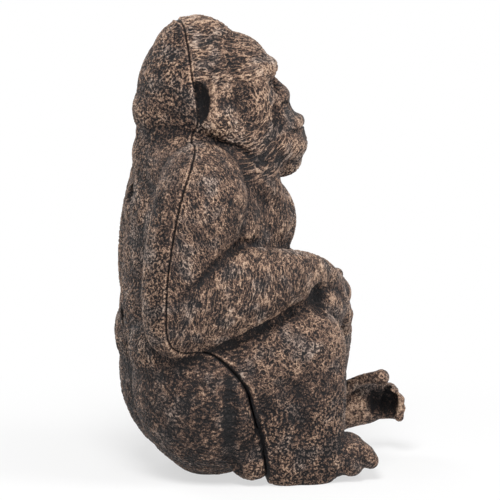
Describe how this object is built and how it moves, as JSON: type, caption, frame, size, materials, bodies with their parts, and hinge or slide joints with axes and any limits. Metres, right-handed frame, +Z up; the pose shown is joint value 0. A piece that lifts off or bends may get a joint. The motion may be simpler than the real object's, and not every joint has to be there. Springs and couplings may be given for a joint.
{
  "type": "gorilla statue",
  "caption": "Seated gorilla ornament with its forearms crossed on its knees, a hollow iron casting parted into a front and a back half that screws draw together.",
  "frame": {"origin": "centre of the figure's outline from above, on the plane it stands on", "axes": "+Z up, the gorilla faces -Y, its right side is -X"},
  "size_m": [0.1677, 0.1865, 0.289],
  "materials": {
    "front_casting": "dark bronzed paint, rubbed to copper on the high points",
    "back_casting": "dark bronzed paint, rubbed to copper on the high points",
    "screws": "slotted countersunk heads, painted over with the castings"
  },
  "bodies": {
    "root": {"front_casting": "front_casting", "back_casting": "back_casting", "upper_screw": "screws", "lower_screw": "screws"}
  },
  "joints": []
}
